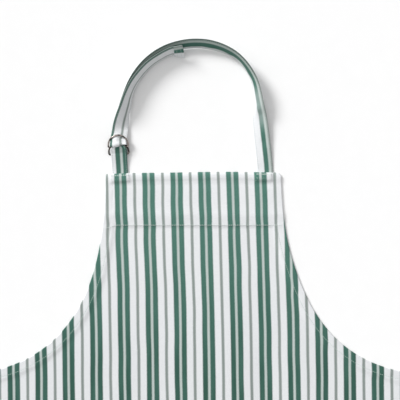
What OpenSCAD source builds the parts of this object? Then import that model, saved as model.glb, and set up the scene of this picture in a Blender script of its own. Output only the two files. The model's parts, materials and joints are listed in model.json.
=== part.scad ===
// Bib apron in striped cotton, lying face up. Its neck strap closes on two D-rings.
// +Y points to the neck, +Z is up, out of the apron's face. Millimetres.

/* [Apron] */
// Length of the apron from the bib's top edge to the bottom hem
apron_len = 850; // [780:1:900]
// Half of the skirt's width
skirt_half = 350; // [340:1:360]
// Half of the bib's width at its top edge
bib_half = 141; // [135:1:150]
// How much each side of the bib widens over its deep hem
bib_flare = 2.5; // [0:0.5:4]
// Depth of the armhole curve below the bib's top edge
armhole_depth = 318; // [300:1:330]
// How far the full armhole curve reaches outwards
armhole_reach = 258.5; // [250:0.5:265]
// Squareness of the armhole curve, where 2 is an ellipse
armhole_power = 2.56; // [2.2:0.02:3]
// Thickness of the cloth
cloth = 0.8; // [0.6:0.05:0.8]

/* [Hems] */
// Depth of the turned hem behind the bib's top edge
top_hem = 82; // [70:1:95]
// Width of the armhole hems
armhole_hem = 14; // [10:1:16]
// Width of the skirt's side hems
side_hem = 18; // [14:1:22]
// Depth of the bottom hem
bottom_hem = 30; // [20:1:40]
// Thickness of a hem that is folded twice
hem_z = 2; // [1.9:0.05:2]

/* [Neck strap] */
// Width of the neck strap, the ring tab and the waist ties
strap_w = 25; // [24:0.5:26]
// Thickness of the strap, sewn from folded cloth
strap_t = 1.2; // [1:0.05:1.2]
// Place of the strap's outer edge where it leaves the bib, right of the centre line
strap_x = 122; // [118:1:124]
// Place of the ring tab, left of the centre line
tab_x = 119; // [115:1:122]
// Sideways lean of the ring tab, in degrees
tab_lean = 3; // [0:0.5:4]
// How deep the strap and the tab are sewn into the bib
sewn_depth = 15; // [12:1:20]

/* [D-rings] */
// Diameter of the rings' wire
wire_d = 2.6; // [2.4:0.1:2.6]
// Width of a ring, outside
ring_w = 33.8; // [33.5:0.1:34]
// Height of a ring, outside
ring_h = 21.5; // [21.3:0.1:21.7]
// How far the lower ring's bar lies above the bib's top edge
lower_bar_y = 29.6; // [29.4:0.1:29.8]
// How far the upper ring's bar lies above the bib's top edge
upper_bar_y = 40.5; // [40.3:0.1:40.6]
// Slope of the upper ring where it lies over the strap, in degrees
ring_slope = 10; // [9:0.5:11]

/* [Waist ties] */
// Length of one run of a tie that is folded to and fro
tie_run = 105; // [100:1:115]
// How many runs the folded tie has
tie_runs = 8; // [6:2:8]

/* [Hidden] */
$fn = 32;
gap = 0.1;                  // between sewn layers
float_z = 0.3;              // from the ground to the strap's underside
strap_top = 208;            // arch height above the bib's top edge
bib_y = (apron_len - strap_top) / 2;
hem_y = bib_y - apron_len;
panel_z = hem_z + 0.2;      // underside of the panel, over the hems
panel_top = panel_z + cloth;
free_start = 5;             // from a sewn edge to the free strap, with a fold line before it
strap_line = 13;            // depth of the stitch line that holds the straps
tack_line = 8;              // depth of the short rows across the straps
thread_w = 0.5;
thread_h = 0.3;
stitch_in = 1.5;            // from a hem's inner edge to its stitch line
hem_gap = 0.3;              // between two hems that meet
bar_gap = 0.25;             // between a ring's bar and the tab round it
seam_end = 1;               // a sewn end's reach into the fold line
corner_depth = armhole_depth * pow(1 - pow((armhole_reach + bib_half + bib_flare
    - skirt_half) / armhole_reach, armhole_power), 1 / armhole_power);
tie_x = skirt_half + 30;    // where a tie's folds begin
tie_y = bib_y - corner_depth - 8 - strap_w;
tie_pitch = strap_t + 0.3;
wire_r = wire_d / 2;
corner_r = 2.2;             // bend between a ring's bar and its arc
lower_bar_z = float_z + strap_t + 0.3 + wire_r;
upper_bar_z = lower_bar_z + wire_d + 0.9;

green = [0.28, 0.46, 0.41];
pale = [0.92, 0.93, 0.92];
mid_green = [0.52, 0.63, 0.60];
bronze = [0.36, 0.31, 0.28];

// ---- outlines ----

// Half-width and depth of the apron's edge, for an angle from 0 at the bib's top edge
function armhole_point(a) = let (
    depth = armhole_depth * pow(sin(a), 2 / armhole_power),
    flare = bib_flare * min(1, depth / top_hem))
    [bib_half + flare + armhole_reach * (1 - pow(cos(a), 2 / armhole_power)), depth];
last_angle = asin(pow(corner_depth / armhole_depth, armhole_power / 2));
function edge_point(k, n) = armhole_point(last_angle * pow(k / n, 1.4));
function edge_points(n) = [for (k = [0 : n]) edge_point(k, n)];

// The same edge, moved inwards by a distance
function edge_inset(d, n, from) = [for (k = [0 : n]) let (
    p = edge_point(k, n),
    q = edge_point(min(k + 1, n), n) - edge_point(max(k - 1, 0), n),
    m = [-q[1], q[0]] / norm(q))
    if (p[1] >= from) p + d * m];
function flip_down(points) = [for (p = points) [p[0], bib_y - p[1]]];

module apron_outline() {
    side = flip_down(edge_points(30));
    polygon(concat(side, [[skirt_half, hem_y], [-skirt_half, hem_y]],
        [for (k = [len(side) - 1 : -1 : 0]) [-side[k][0], side[k][1]]]));
}

module slab(z, h) translate([0, 0, z]) linear_extrude(h) children();

// ---- cloth ----

module front_panel() color(green) slab(panel_z, cloth) apron_outline();

module top_hem_facing() color(pale) slab(0, cloth) intersection() {
    apron_outline();
    translate([-skirt_half, bib_y - top_hem]) square([2 * skirt_half, top_hem]);
}

// A strip along the armhole edge, between two distances from that edge
module armhole_strip(d0, d1, z, h) {
    outer = flip_down(edge_inset(d0, 30, top_hem + hem_gap));
    inner = flip_down(edge_inset(d1, 30, top_hem + hem_gap));
    slab(z, h) intersection() {
        polygon(concat(outer, [for (k = [len(inner) - 1 : -1 : 0]) inner[k]]));
        translate([0, bib_y - corner_depth])
            square([skirt_half - side_hem - 1, corner_depth]);
    }
}

module armhole_hem() color(mid_green) armhole_strip(0, armhole_hem, 0, hem_z);

module side_hem() color(mid_green) difference() {
    y0 = hem_y + bottom_hem + hem_gap;
    translate([skirt_half - side_hem, y0, 0])
        cube([side_hem, bib_y - corner_depth - y0 - hem_gap, hem_z]);
    translate([skirt_half - sewn_depth - hem_gap, tie_y - hem_gap, hem_z - strap_t - gap])
        cube([sewn_depth + 2 * hem_gap, strap_w + 2 * hem_gap, strap_t + 2 * gap]);
}

module bottom_hem() color(mid_green) translate([-skirt_half, hem_y, 0])
    cube([2 * skirt_half, bottom_hem, hem_z]);

// ---- neck strap ----

// Stations of the free strap, from its right root over the arch to the rings:
// [outer edge x, outer edge y, lean in degrees, height of the lower edge]
main_route = [[strap_x, free_start, 0, 0], [121, 25, 8, 0], [118, 60, 24, 0], [114, 88, 44, 0],
    [108.5, 113, 66, 0], [94, 149, 70, 0], [68, 185, 69, 0], [34, 203, 69, 0],
    [-4, 208, 69, 0], [-44, 202, 68, 0], [-78, 181, 67, 0], [-101, 150, 66, 0],
    [-115, 117, 66, 0], [-124, 90, 56, 0], [-131, 70, 18, 0], [-134.6, 56, 0, 0]];
// The free end, doubled back inside the arch: it lies on the main run, then beside it
tail_route = [[-134.9, 52.5, 0, 4], [-134.6, 60, 0, 3.9], [-132.2, 67, 22, 4.6],
    [-127.5, 77, 52, 8.3], [-119.5, 91, 68, 4.5], [-110.5, 112, 75, 0.6], [-96, 144, 75, 0],
    [-73, 175, 75, 0], [-40, 195, 75, 0], [-21, 199.5, 75, 0]];

function spline(a, b, c, d, t) = 0.5 * (2 * b + (c - a) * t + (2 * a - 5 * b + 4 * c - d) * t * t
    + (3 * b - a - 3 * c + d) * t * t * t);
function resample(route, steps) = let (n = len(route) - 1) [for (i = [0 : n - 1])
    for (k = [0 : steps - 1 + (i == n - 1 ? 1 : 0)])
    spline(route[max(i - 1, 0)], route[i], route[i + 1], route[min(i + 2, n)], k / steps)];

// Middle of the strap, its width direction and its width, for a station and the travel.
// side is 1 where the outer edge lies to the right of the travel, -1 where to the left.
function section(s, travel, side) = let (
    out = side * [travel[1], -travel[0], 0] / norm([travel[0], travel[1]]),
    w = out * cos(s[2]) + [0, 0, sin(s[2])],
    low = float_z + s[3] + strap_t / 2 * cos(s[2]))
    [[s[0], bib_y + s[1], 0] - out * strap_w / 2 * cos(s[2])
        + [0, 0, low + strap_w / 2 * sin(s[2])], w, strap_w];
function sections(route, side) = let (r = resample(route, 3), n = len(r) - 1)
    [for (i = [0 : n]) section(r[i], r[min(i + 1, n)] - r[max(i - 1, 0)], side)];

// The turn round the lower ring's arc, in the ring tab's leaning frame. The strap is
// gathered there, to pass inside the arc.
turn_y = lower_bar_y + ring_h - wire_d - 1;
gather = 13.5;
turn_r = 2.2 + strap_t / 2;
turn_z = float_z + strap_t / 2 + turn_r;
function leaning(p) = [-tab_x + p[0] * cos(tab_lean) - p[1] * sin(tab_lean),
    bib_y + p[0] * sin(tab_lean) + p[1] * cos(tab_lean), p[2]];
turn = [for (a = [0 : 30 : 180]) [leaning([0, turn_y - turn_r * sin(a),
    turn_z - turn_r * cos(a)]), [-cos(tab_lean), -sin(tab_lean), 0],
    strap_w - gather * pow(sin(a), 0.25)]];

function cross_ring(q, travel) = let (
    n = cross(q[1], travel) / norm(cross(q[1], travel)) * strap_t / 2,
    w = q[1] * q[2] / 2)
    [q[0] + w + n, q[0] + w - n, q[0] - w - n, q[0] - w + n];

module swept_strap(s) {
    n = len(s) - 1;
    rings = [for (i = [0 : n]) cross_ring(s[i], s[min(i + 1, n)][0] - s[max(i - 1, 0)][0])];
    function corner(i, k) = 4 * i + k % 4;
    polyhedron(points = [for (r = rings) for (p = r) p], faces = concat([[0, 1, 2, 3]],
        [for (i = [0 : n - 1]) for (k = [0 : 3])
            each [[corner(i, k), corner(i + 1, k), corner(i + 1, k + 1)],
                [corner(i, k), corner(i + 1, k + 1), corner(i, k + 1)]]],
        [[for (k = [3 : -1 : 0]) corner(n, k)]]), convexity = 6);
}

module neck_strap() color(green)
    swept_strap(concat(sections(main_route, 1), turn, sections(tail_route, -1)));

module neck_strap_sewn_end() color(mid_green)
    translate([strap_x - strap_w, bib_y - sewn_depth, cloth + gap])
        cube([strap_w, sewn_depth + seam_end, strap_t]);

// ---- ring tab ----

module in_tab_frame() translate([-tab_x, bib_y, 0]) rotate(tab_lean) children();

// Side view of the tab's loop: two layers that part round the ring bars
module tab_side_view() {
    low = float_z;
    top_b = lower_bar_z + wire_r + bar_gap;
    top_a = upper_bar_z + wire_r + bar_gap;
    end_y = upper_bar_y + wire_r + bar_gap + strap_t;
    corner = 1.3;
    difference() {
        polygon([[free_start, low], [end_y - corner - 1, low], [end_y, low + 3],
            [end_y, top_a + strap_t - 1.5], [end_y - 1.5, top_a + strap_t],
            [upper_bar_y - 2, top_a + strap_t], [lower_bar_y + 3, top_b + strap_t],
            [lower_bar_y - 3, top_b + strap_t], [free_start, low + 2 * strap_t + gap]]);
        polygon([[free_start + 1.5, low + strap_t], [end_y - strap_t - corner, low + strap_t],
            [end_y - strap_t, low + strap_t + 2], [end_y - strap_t, top_a - 0.4],
            [end_y - strap_t - 0.6, top_a], [upper_bar_y - 1.8, top_a],
            [lower_bar_y + 3, top_b], [lower_bar_y - 3, top_b],
            [free_start + 1.5, low + strap_t + gap]]);
    }
}

// The tab's fold is drawn in a little, to sit inside the lower ring's arc
module ring_tab() color(pale) in_tab_frame() intersection() {
    translate([strap_w / 2, 0, 0]) rotate([90, 0, -90])
        mirror([1, 0, 0]) linear_extrude(strap_w) tab_side_view();
    linear_extrude(20) polygon([for (p = [[-1, 0], [1, 0], [1, 38.4], [0.6, 45],
        [-0.6, 45], [-1, 38.4]]) [p[0] * strap_w / 2, p[1]]]);
}

module ring_tab_sewn_end() color(mid_green)
    translate([-tab_x - strap_w / 2, bib_y - sewn_depth, cloth + gap])
        cube([strap_w, sewn_depth + seam_end, strap_t]);

// ---- D-rings ----

module wire_bend(r, angle) rotate_extrude(angle = angle, $fn = 48)
    translate([r, 0]) circle(wire_r, $fn = 16);

// A ring lying flat with its bar's middle at the origin and its arc towards +Y
module d_ring() {
    arc_r = (ring_w - wire_d) / 2;
    leg = ring_h - wire_d - arc_r;
    bar = 2 * (arc_r - corner_r);
    translate([0, leg, 0]) wire_bend(arc_r, 180);
    for (side = [-1, 1]) {
        translate([side * arc_r, corner_r, 0]) rotate([-90, 0, 0])
            cylinder(r = wire_r, h = leg - corner_r, $fn = 16);
        translate([side * (arc_r - corner_r), corner_r, 0]) rotate(side > 0 ? -90 : 180)
            wire_bend(corner_r, 90);
    }
    translate([-bar / 2, 0, 0]) rotate([0, 90, 0]) cylinder(r = wire_r, h = bar, $fn = 16);
}

module upper_d_ring() color(bronze) in_tab_frame()
    translate([0, upper_bar_y, upper_bar_z]) rotate([ring_slope, 0, 0]) d_ring();

module lower_d_ring() color(bronze) in_tab_frame()
    translate([0, lower_bar_y, lower_bar_z]) d_ring();

// ---- waist ties ----

// A tie folded to and fro in a flat stack, running away from the skirt along +X
module waist_tie() color(green) translate([0, tie_y + strap_w, 0]) rotate([90, 0, 0])
    linear_extrude(strap_w) {
        for (k = [0 : tie_runs - 1]) {
            start = k == 0 ? skirt_half + free_start : tie_x;
            translate([start, float_z + k * tie_pitch]) square([tie_x + tie_run - start, strap_t]);
        }
        for (k = [0 : tie_runs - 2]) {
            outer_end = k % 2 == 0;
            translate([outer_end ? tie_x + tie_run : tie_x, float_z + k * tie_pitch
                + (tie_pitch + strap_t) / 2]) intersection() {
                difference() {
                    circle((tie_pitch + strap_t) / 2);
                    circle((tie_pitch - strap_t) / 2);
                }
                translate([outer_end ? 0 : -4, -2]) square([4, 4]);
            }
        }
    }

module tie_sewn_end() color(mid_green)
    translate([skirt_half - sewn_depth, tie_y, hem_z - strap_t])
        cube([sewn_depth + seam_end, strap_w, strap_t]);

// ---- thread ----

// The deep hem's stitch line and the line that holds the straps
module top_hem_thread() color("white") slab(panel_top, thread_h)
    for (depth = [strap_line, top_hem]) translate([-bib_half + stitch_in, bib_y - depth])
        square([2 * (bib_half - stitch_in), thread_w]);

module edge_thread() color("white") {
    seam_x = skirt_half - side_hem + stitch_in;
    seam_y = hem_y + bottom_hem - stitch_in;
    for (side = [0, 1]) mirror([side, 0, 0]) {
        armhole_strip(armhole_hem - stitch_in, armhole_hem - stitch_in + thread_w,
            panel_top, thread_h);
        slab(panel_top, thread_h) translate([seam_x, seam_y + 1])
            square([thread_w, bib_y - corner_depth - seam_y - 6]);
    }
    slab(panel_top, thread_h) translate([-seam_x, seam_y - thread_w])
        square([2 * seam_x, thread_w]);
}

// Short rows of stitches across the sewn ends of the straps and ties
module strap_tack_thread() color("white") slab(panel_top, thread_h) {
    for (x = [-tab_x, strap_x - strap_w / 2]) translate([x - strap_w / 2, bib_y - tack_line])
        square([strap_w, thread_w]);
    for (side = [-1, 1]) for (inset = [4, 8]) translate([side * (skirt_half - inset), tie_y])
        square([thread_w, strap_w]);
}

front_panel();
top_hem_facing();
mirror([1, 0, 0]) armhole_hem();  // left_armhole_hem
armhole_hem();  // right_armhole_hem
mirror([1, 0, 0]) side_hem();  // left_side_hem
side_hem();  // right_side_hem
bottom_hem();
neck_strap();
neck_strap_sewn_end();
ring_tab();
ring_tab_sewn_end();
upper_d_ring();
lower_d_ring();
mirror([1, 0, 0]) waist_tie();  // left_waist_tie
waist_tie();  // right_waist_tie
mirror([1, 0, 0]) tie_sewn_end();  // left_tie_sewn_end
tie_sewn_end();  // right_tie_sewn_end
top_hem_thread();
edge_thread();
strap_tack_thread();
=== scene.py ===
import json
import math

import bpy
import numpy as np
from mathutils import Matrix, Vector
from mathutils.geometry import delaunay_2d_cdt


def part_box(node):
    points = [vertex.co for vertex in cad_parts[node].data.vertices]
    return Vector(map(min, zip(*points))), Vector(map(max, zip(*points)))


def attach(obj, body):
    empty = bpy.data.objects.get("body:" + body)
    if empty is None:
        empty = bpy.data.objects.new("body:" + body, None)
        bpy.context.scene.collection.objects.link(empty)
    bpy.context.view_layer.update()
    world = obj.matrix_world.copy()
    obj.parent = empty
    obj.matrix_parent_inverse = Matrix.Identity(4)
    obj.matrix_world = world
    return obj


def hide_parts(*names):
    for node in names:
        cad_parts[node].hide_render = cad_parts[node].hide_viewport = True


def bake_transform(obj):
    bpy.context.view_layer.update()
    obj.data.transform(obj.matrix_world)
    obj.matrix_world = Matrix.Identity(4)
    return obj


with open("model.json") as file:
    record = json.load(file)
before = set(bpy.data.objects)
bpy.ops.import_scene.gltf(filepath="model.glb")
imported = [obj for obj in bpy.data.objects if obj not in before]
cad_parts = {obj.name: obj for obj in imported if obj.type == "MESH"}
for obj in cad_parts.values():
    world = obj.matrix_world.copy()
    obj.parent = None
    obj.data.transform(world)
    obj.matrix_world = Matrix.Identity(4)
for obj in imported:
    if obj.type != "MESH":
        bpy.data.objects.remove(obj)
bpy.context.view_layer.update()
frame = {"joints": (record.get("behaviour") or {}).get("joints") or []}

# A striped bib apron lying face up. Metres; +Y points to the neck and +Z is up.

# ---- places, from the frame ----

MM = 0.001
UP = np.array([0, 0, 1])
PANEL_LOW, PANEL_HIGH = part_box("front_panel")
BIB_Y = PANEL_HIGH.y  # the bib's top edge
HEM_Y = PANEL_LOW.y  # the bottom edge
SKIRT = PANEL_HIGH.x  # half of the skirt's width
PIVOT = next(j["axis"] for j in frame["joints"] if j["name"] == "upper_ring_pivot")
STRAP_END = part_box("neck_strap_sewn_end")
TIE_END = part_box("right_tie_sewn_end")
TIE_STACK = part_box("right_waist_tie")
STRAP_X = (STRAP_END[0].x + STRAP_END[1].x) / 2  # middle of the neck strap's sewn end

# ---- driving dimensions, as in the part ----

BIB_HALF = 0.141
BIB_FLARE = 0.0025  # how much wider the bib is below its hem, on each side
# The armhole's edge is a quarter of a superellipse
ARM_DEPTH = 0.318
ARM_REACH = 0.2585
ARM_POWER = 2.56
TOP_HEM = 0.082
ARM_HEM = 0.014
SIDE_HEM = 0.018
BOTTOM_HEM = 0.030
SEWN = 0.015  # length of a strap's sewn end
STRAP_W = 0.025
STRAP_T = 0.0012
TAB_LEAN = math.atan2(PIVOT[1], PIVOT[0])
TAB_X = 0.119  # from the apron's middle to the ring tab's
WIRE_D = 0.0026
RING_W = 0.0338
RING_H = 0.0215
RING_SLOPE = math.radians(10)
TIE_RUNS = 8

# Depth below the bib's top edge at which the armhole's curve meets the skirt's side
CORNER_DEPTH = ARM_DEPTH * (1 - ((ARM_REACH + BIB_HALF + BIB_FLARE - SKIRT) / ARM_REACH)
                            ** ARM_POWER) ** (1 / ARM_POWER)

# ---- cloth levels over the ground ----

PLY = 0.0007  # one layer of the cloth
GROUND_GAP = 0.0002  # under the panel
FLOAT_Z = 0.0004  # under the straps
HEM_RISE = 0.0014  # a hem's two layers
FACING_RISE = 0.0008
STEP_DOWN = 0.0022  # over how far the panel comes down beside a hem
SOFT_STEP = 0.0080  # the same beside the armholes' curved hems
STITCH_IN = 0.0015  # from a hem's inner edge to its stitches
SECOND_LINE = 0.013  # depth of the line that holds the straps
SUNK = -0.00045  # height of the stitches that are pulled into the cloth
JUST_SUNK = -0.0001  # the same for stitches that stay near its face
STRAP_TACKS = ((0.0026, JUST_SUNK), (0.0037, JUST_SUNK), (0.0090, SUNK))  # depth and height
TIE_TACKS = (0.004, 0.009)  # how far in from the skirt's side
EDGE_R = 0.0014  # rounding of a folded edge
DRAWN_IN = 0.0063  # how far the bib's right edge is drawn in at the top
# Distances of the panel's rows of points from its edges, and from the bib's top edge at the seam
EDGE_GAPS = (0.0005, 0.0010, 0.0016, 0.003, 0.005, 0.0075, 0.010, 0.0115, 0.0125, 0.0135, 0.0155,
             0.018)
SEAM_DEPTHS = (0.0800, 0.0812, 0.0820, 0.0828, 0.0842)
ROW_ROOM = 0.0185  # how close the seam's rows come to an edge
GRID_ROOM = 0.0195  # how close the grid comes to an edge
GRID_STEP = 0.0036
HEM_IN = 0.0032  # from an edge to the folded hem under the panel
HEM_LEVELS = (0.0001, 0.0014)  # a hem's underside and top
FACING_LEVELS = (0.0003, 0.0009)  # the same of the facing
HEM_SHIFT = 0.011  # how far the hems' stripes are off the panel's
FACING_SHIFT = 0.013
STRAP_STITCHES = {"pitch": 0.0034, "length": 0.0026, "radius": 0.00022}

# ---- camera ----

CAMERA_HEIGHT = 1.9
VIEW_WIDTH = 0.630
VIEW_CENTRE = (0.007, BIB_Y - 0.0425)
SENSOR = 36.0

# ---- stripe pattern, millimetres across the cloth ----

REPEAT = 44.3
BOLD_W = 8.0
BOLD_STEP = 11.7
THIN_W = 4.5


def put_camera():
    cam = bpy.data.cameras.new("camera")
    cam.sensor_width = SENSOR
    cam.lens = SENSOR * CAMERA_HEIGHT / VIEW_WIDTH
    cam.clip_start = 0.01
    obj = bpy.data.objects.new("camera", cam)
    obj.location = (VIEW_CENTRE[0], VIEW_CENTRE[1], CAMERA_HEIGHT)
    bpy.context.scene.collection.objects.link(obj)
    bpy.context.scene.camera = obj


# ---- noise and curves ----

def value_noise(x, y, seed):
    """Smooth noise from -1 to 1, one lattice cell per unit, the same on every run."""
    size = 64
    table = np.random.default_rng(seed).uniform(-1, 1, (size, size))
    x, y = np.asarray(x, float), np.asarray(y, float)
    xi, yi = np.floor(x).astype(int), np.floor(y).astype(int)
    fx, fy = x - xi, y - yi
    fx, fy = fx * fx * (3 - 2 * fx), fy * fy * (3 - 2 * fy)
    x0, x1, y0, y1 = xi % size, (xi + 1) % size, yi % size, (yi + 1) % size
    a = table[x0, y0] * (1 - fx) + table[x1, y0] * fx
    b = table[x0, y1] * (1 - fx) + table[x1, y1] * fx
    return a * (1 - fy) + b * fy


def ramp(x, low, high):
    """0 at low, 1 at high, smooth between. low may be above high."""
    t = np.clip((np.asarray(x, float) - low) / (high - low), 0, 1)
    return t * t * (3 - 2 * t)


def bump_at(x, centre, width):
    """A smooth hill, 1 at centre."""
    return np.exp(-((np.asarray(x, float) - centre) / width) ** 2)


def arm_curve(n=90):
    """The right armhole's edge, from the bib's top corner to the skirt's corner: n + 1 points."""
    last = math.asin((CORNER_DEPTH / ARM_DEPTH) ** (ARM_POWER / 2))
    a = last * (np.arange(n + 1) / n) ** 1.4
    depth = ARM_DEPTH * np.sin(a) ** (2 / ARM_POWER)
    flare = BIB_FLARE * np.minimum(1, depth / TOP_HEM)
    x = BIB_HALF + flare + ARM_REACH * (1 - np.cos(a) ** (2 / ARM_POWER))
    return np.column_stack([x, BIB_Y - depth])


def lengths(points):
    """How far along its polyline each point lies."""
    return np.concatenate([[0], np.cumsum(np.linalg.norm(np.diff(points, axis=0), axis=1))])


def even(points, step):
    """The same polyline with evenly spaced points."""
    points = np.asarray(points, float)
    length = lengths(points)
    n = max(1, int(round(length[-1] / step)))
    s = np.linspace(0, length[-1], n + 1)
    return np.column_stack([np.interp(s, length, points[:, k]) for k in range(points.shape[1])])


def inward(points):
    """Unit normals of a polyline in XY, to the right of its travel."""
    t = np.gradient(points, axis=0)
    t /= np.linalg.norm(t, axis=1)[:, None]
    return np.column_stack([t[:, 1], -t[:, 0]])


ARM = arm_curve()


def distances(x, y):
    """Distance of each point from the armhole edge, and how far along that edge it lies."""
    p = np.column_stack([np.abs(x), y])
    best = np.full(len(p), 1e9)
    along = np.zeros(len(p))
    run = 0.0
    for a, b in zip(ARM[:-1], ARM[1:]):
        d = b - a
        size = float(np.linalg.norm(d))
        t = np.clip((p - a) @ d / size ** 2, 0, 1)
        gap = np.linalg.norm(p - a - t[:, None] * d, axis=1)
        nearer = gap < best
        best = np.where(nearer, gap, best)
        along = np.where(nearer, run + t * size, along)
        run += size
    return best, along


def edge_distances(x, y):
    """Distances from the armhole, the skirt's side, the bottom and the bib's top edge."""
    arm, along = distances(x, y)
    below = y < BIB_Y - CORNER_DEPTH
    side = np.where(below, SKIRT - np.abs(x), 1.0)
    return arm, side, y - HEM_Y, BIB_Y - y, along


def nearest_edge(p):
    """Distance of points in XY from the panel's nearest edge."""
    return np.minimum.reduce(edge_distances(*p.T)[:4])


# ---- the cloth's shape ----

def undulation(x, y):
    """Low swells of the cloth, as it lies on a flat surface."""
    inside = ramp(nearest_edge(np.column_stack([x, y])), 0, 0.07)
    long_swell = value_noise(x / 0.055 + 0.25 * y / 0.09, y / 0.23, 3)
    broad = value_noise(x / 0.13, y / 0.16, 5)
    small = value_noise(x / 0.028, y / 0.075, 8)
    skirt = ramp(BIB_Y - y, 0.10, 0.45)
    swell = 0.5 + 0.45 * long_swell + 0.4 * broad
    return (0.0010 + 0.0014 * skirt) * inside * np.clip(swell, 0, 2) + 0.00022 * inside * small


def strap_lift(x, y):
    """How much the sewn ends of the strap and the tab lift the panel."""
    lift = 0
    for centre in (-TAB_X, STRAP_X):
        across = ramp(np.abs(x - centre), STRAP_W / 2 + 0.005, STRAP_W / 2)
        lift = np.maximum(lift, across * ramp(BIB_Y - y, SEWN + 0.002, SEWN - 0.0035))
    return lift * 0.0021


def seam_relief(x, y, top):
    """The bib hem's own hills: a lip along the edge, a dip under the strap line, and a swell
    over the deep seam."""
    waver = 1 + 0.35 * value_noise(x / 0.018, y / 0.05, 17)
    lip = bump_at(top, 0.0072, 0.0063)
    dip = bump_at(top, SECOND_LINE + 0.006, 0.005)
    swell = bump_at(top, TOP_HEM - 0.015, 0.009)
    hills = waver * (0.0012 * lip - 0.0004 * dip + 0.0007 * swell)
    step = 0.0006 * ramp(top, 0.09, 0.06) + 0.0004 * ramp(top, TOP_HEM + 0.0025, TOP_HEM)
    return hills + step * ramp(top, 0, 0.004)


def underside(x, y):
    """Height of the panel's underside, over whatever lies beneath it."""
    arm, side, bottom, top, along = edge_distances(x, y)
    hem = np.maximum.reduce([
        ramp(arm, ARM_HEM + SOFT_STEP, ARM_HEM) * (top > TOP_HEM - 0.001),
        ramp(arm, ARM_HEM + SOFT_STEP, ARM_HEM) * 0.6,
        ramp(side, SIDE_HEM + STEP_DOWN, SIDE_HEM),
        ramp(bottom, BOTTOM_HEM + STEP_DOWN, BOTTOM_HEM)])
    facing = ramp(top, TOP_HEM + STEP_DOWN, TOP_HEM + 0.0004)
    rise = np.maximum(hem * HEM_RISE, facing * FACING_RISE)
    arm_in, side_in, low_in = ARM_HEM - STITCH_IN, SIDE_HEM - STITCH_IN, BOTTOM_HEM - STITCH_IN
    pucker = (bump_at(arm, arm_in, 0.0045) * value_noise(along / 0.007, arm / 0.012, 11)
              + bump_at(side, side_in, 0.005) * value_noise(y / 0.008, side / 0.012, 12)
              + bump_at(bottom, low_in, 0.006) * value_noise(x / 0.008, bottom / 0.014, 13)
              + bump_at(top, TOP_HEM, 0.006) * value_noise(x / 0.009, top / 0.012, 14))
    sink = sum(bump_at(gap, line, width) for gap, line, width in (
        (arm, arm_in, 0.0009), (top, TOP_HEM, 0.0009), (top, SECOND_LINE, 0.0009),
        (side, side_in, 0.001), (bottom, low_in, 0.001)))
    return (GROUND_GAP + rise + strap_lift(x, y) + undulation(x, y) + seam_relief(x, y, top)
            + 0.00035 * pucker + 0.00035 - 0.0002 * np.clip(sink, 0, 1))


def panel_top(x, y):
    """Height of the panel's face."""
    return underside(x, y) + PLY


# ---- meshes ----

def new_object(name, verts, faces, uv, face_slots=None):
    """A smooth mesh object; uv gives each vertex's place on the flat cloth, in metres."""
    mesh = bpy.data.meshes.new(name)
    mesh.from_pydata([tuple(map(float, v)) for v in verts], [], faces)
    layer = mesh.uv_layers.new(name="cloth")
    corner_vertex = np.zeros(len(mesh.loops), int)
    mesh.loops.foreach_get("vertex_index", corner_vertex)
    layer.data.foreach_set("uv", np.asarray(uv, np.float32)[corner_vertex].ravel())
    mesh.polygons.foreach_set("use_smooth", [True] * len(mesh.polygons))
    if face_slots is not None:
        mesh.polygons.foreach_set("material_index", face_slots)
    mesh.update()
    obj = bpy.data.objects.new(name, mesh)
    bpy.context.scene.collection.objects.link(obj)
    return obj


def stripe_place(x, y):
    """Where a point of the panel lies on the flat cloth: the stripes lean and waver a little."""
    depth = BIB_Y - y
    arm, side, bottom, top, along = edge_distances(x, y)
    lean = 0.0119 * (1 - np.exp(-np.maximum(depth, 0) / 0.25))
    waver = 0.00045 * value_noise(x / 0.04, y / 0.035, 21)
    waver += 0.0006 * value_noise(x / 0.2, y / 0.12, 22)
    tug = bump_at(arm, ARM_HEM, 0.009) * value_noise(along / 0.016, x / 0.05, 23)
    tug += bump_at(top, TOP_HEM, 0.007) * value_noise(x / 0.02, 0 * y, 24)
    drift = 0.0011 * ramp(depth, 0.055, 0.02) * ramp(x, 0.09, -0.06)
    drift += 0.0012 * ramp(x, -0.10, -0.135) * ramp(depth, 0.10, 0.05)
    drift -= 0.0006 * bump_at(depth, 0.105, 0.055) * ramp(x, 0.09, 0.05) * ramp(x, -0.1, -0.06)
    drift += 0.0024 * ramp(x, -0.16, -0.30) * ramp(depth, 0.24, 0.30)
    drift += 0.0012 * bump_at(x, 0.15, 0.06) * ramp(depth, 0.16, 0.26)
    drift -= 0.0010 * bump_at(x, 0.30, 0.04) * ramp(depth, 0.27, 0.33)
    return np.column_stack([x - lean + 0.0094 + waver + 0.0007 * tug - drift, y])


def settle(x, y):
    """Where a point of the even pattern really lies: the right edge of the bib is drawn in, the
    top edge bows up a little, and its corners are round."""
    depth = BIB_Y - y
    near_top = ramp(depth, 0.205, 0.060)
    x2 = x - DRAWN_IN * ramp(x, 0.095, 0.141) * near_top
    bow = 0.0019 * bump_at(x, 0.045, 0.085) - 0.0013 * ramp(x, -0.09, -0.141)
    y2 = y + bow * ramp(depth, 0.07, 0)
    y2 -= 0.0045 * ramp(x, -0.122, -0.142) * bump_at(depth, TOP_HEM, 0.015)
    for side, edge, radius in ((1, BIB_HALF - DRAWN_IN, 0.0065), (-1, BIB_HALF, 0.002)):
        dx = side * x2 - (edge - radius)
        dy = radius - depth
        corner = (dx > 0) & (dy > 0)
        reach = np.hypot(dx, dy)
        share = np.where(corner, np.maximum(dx, dy) / np.maximum(reach, 1e-9), 1)
        x2 = np.where(corner, side * (edge - radius + dx * share), x2)
        y2 = np.where(corner, y2 - dy * (1 - share), y2)
    return x2, y2


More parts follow.
